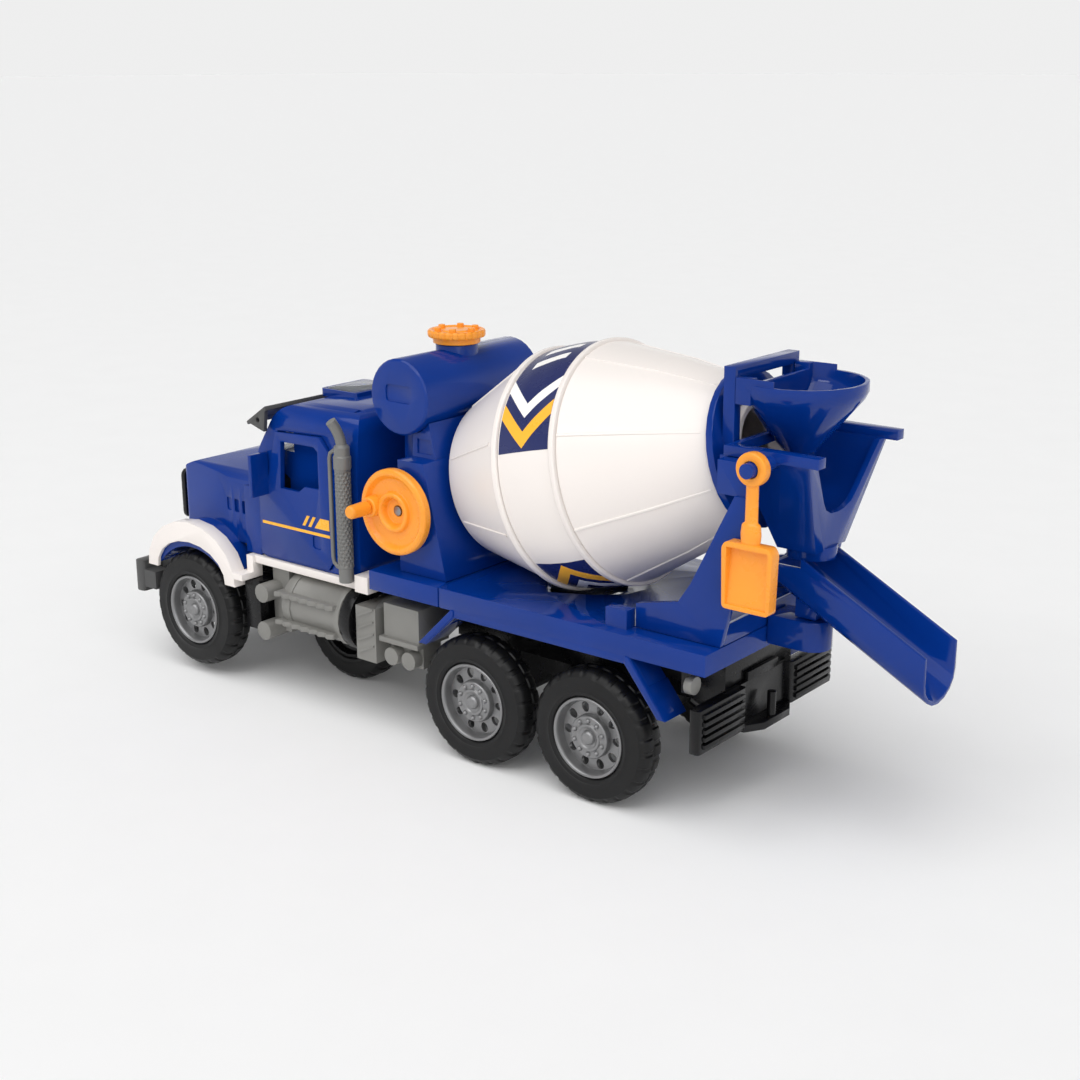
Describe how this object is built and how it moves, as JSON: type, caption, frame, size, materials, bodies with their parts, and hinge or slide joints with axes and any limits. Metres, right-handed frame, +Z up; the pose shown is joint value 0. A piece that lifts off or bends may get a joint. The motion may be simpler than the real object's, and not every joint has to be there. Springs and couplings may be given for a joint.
{
  "type": "toy cement mixer truck",
  "caption": "Toy cement mixer truck: a crank turns the tilted drum, wheels roll, doors open, the chute swings, and a shovel and filler cap come with it.",
  "frame": {"origin": "bottom centre of the bounding box, on the floor that the wheels stand on", "axes": "+X towards the rear chute, +Y towards the truck's right-hand side, +Z up; the cab faces -X"},
  "size_m": [0.36, 0.1028, 0.1584],
  "materials": {
    "blue_plastic": "glossy dark blue injection-moulded plastic",
    "white_plastic": "glossy warm white moulded plastic",
    "orange_plastic": "glossy yellow-orange moulded plastic",
    "grey_plastic": "satin mid-grey plastic",
    "black_plastic": "satin black plastic",
    "tyre": "matt black soft plastic tyre",
    "silver_plastic": "silver-painted plastic wheel centre",
    "clear_plastic": "clear, slightly tinted moulded plastic",
    "steel": "plain drawn steel rod"
  },
  "bodies": {
    "truck": {"chassis": "black_plastic", "front_bumper": "grey_plastic", "rear_bumper": "black_plastic", "tail_lamp_left": "grey_plastic", "tail_lamp_right": "grey_plastic", "bed": "blue_plastic", "drive_housing": "blue_plastic", "water_tank": "blue_plastic", "rear_tower": "blue_plastic", "funnel": "blue_plastic", "receiving_hopper": "blue_plastic", "chute_base": "blue_plastic", "cab_shell": "blue_plastic", "windscreen": "clear_plastic", "roof_light": "clear_plastic", "white_trim": "white_plastic", "grille": "black_plastic", "visor": "grey_plastic", "headlight_left": "clear_plastic", "headlight_right": "clear_plastic", "interior": "black_plastic", "steering_wheel": "black_plastic", "exhaust_stack_left": "grey_plastic", "exhaust_stack_right": "grey_plastic", "side_unit_left": "grey_plastic", "side_unit_right": "grey_plastic", "tank_end_left": "black_plastic", "tank_end_right": "black_plastic"},
    "front_wheels": {"front_axle": "steel", "tyre_front_left": "tyre", "tyre_front_right": "tyre", "rim_front_left": "silver_plastic", "rim_front_right": "silver_plastic"},
    "mid_wheels": {"mid_axle": "steel", "tyre_mid_left": "tyre", "tyre_mid_right": "tyre", "rim_mid_left": "silver_plastic", "rim_mid_right": "silver_plastic"},
    "rear_wheels": {"rear_axle": "steel", "tyre_rear_left": "tyre", "tyre_rear_right": "tyre", "rim_rear_left": "silver_plastic", "rim_rear_right": "silver_plastic"},
    "centre_wheel": {"centre_axle": "steel", "tyre_centre": "tyre", "rim_centre": "black_plastic"},
    "drum": {"drum_front_cone": "white_plastic", "drum_band": "white_plastic", "drum_rear_cone": "white_plastic", "drum_spindle": "steel", "drum_gear": "white_plastic"},
    "crank": {"crank_disc": "orange_plastic", "crank_shaft": "steel", "crank_pinion": "white_plastic"},
    "knob": {"crank_knob": "orange_plastic"},
    "cap": {"tank_cap": "orange_plastic"},
    "shovel": {"shovel": "orange_plastic"},
    "chute": {"chute": "blue_plastic"},
    "left_door": {"door_left": "blue_plastic"},
    "right_door": {"door_right": "blue_plastic"}
  },
  "joints": [
    {"name": "front_wheel_spin", "type": "hinge", "parent": "truck", "child": "front_wheels", "pos_m": [-0.1415, 0.00562, 0.0285], "axis": [0, 1, 0], "continuous": true},
    {"name": "mid_wheel_spin", "type": "hinge", "parent": "truck", "child": "mid_wheels", "pos_m": [0.0162, 0.00562, 0.025], "axis": [0, 1, 0], "continuous": true},
    {"name": "rear_wheel_spin", "type": "hinge", "parent": "truck", "child": "rear_wheels", "pos_m": [0.07, 0.00562, 0.025], "axis": [0, 1, 0], "continuous": true},
    {"name": "centre_wheel_spin", "type": "hinge", "parent": "truck", "child": "centre_wheel", "pos_m": [-0.084, 0.00162, 0.025], "axis": [0, 1, 0], "continuous": true},
    {"name": "drum_spin", "type": "hinge", "parent": "truck", "child": "drum", "pos_m": [0.03, 0.00562, 0.10815], "axis": [0.9716, 0, 0.2365], "continuous": true},
    {"name": "crank_spin", "type": "hinge", "parent": "truck", "child": "crank", "pos_m": [-0.022, -0.03738, 0.0917], "axis": [0, 1, 0], "continuous": true},
    {"name": "knob_spin", "type": "hinge", "parent": "crank", "child": "knob", "pos_m": [-0.03257, -0.04438, 0.09244], "axis": [0, 1, 0], "continuous": true},
    {"name": "cap_lift", "type": "slide", "parent": "truck", "child": "cap", "axis": [0, 0, 1], "range_m": [0, 0.012]},
    {"name": "shovel_swing", "type": "hinge", "parent": "truck", "child": "shovel", "pos_m": [0.1304, -0.03328, 0.1304], "axis": [0, 1, 0], "range_deg": [-35, 35]},
    {"name": "chute_swing", "type": "hinge", "parent": "truck", "child": "chute", "pos_m": [0.1325, 0.00562, 0.071], "axis": [0, 0, 1], "range_deg": [-50, 50]},
    {"name": "left_door_hinge", "type": "hinge", "parent": "truck", "child": "left_door", "pos_m": [-0.104, -0.03088, 0.085], "axis": [0, 0, -1], "range_deg": [0, 55]},
    {"name": "right_door_hinge", "type": "hinge", "parent": "truck", "child": "right_door", "pos_m": [-0.104, 0.04212, 0.085], "axis": [0, 0, 1], "range_deg": [0, 55]}
  ],
  "couplings": [
    {"joint": "crank_spin", "follows": "drum_spin", "ratio": 2}
  ]
}
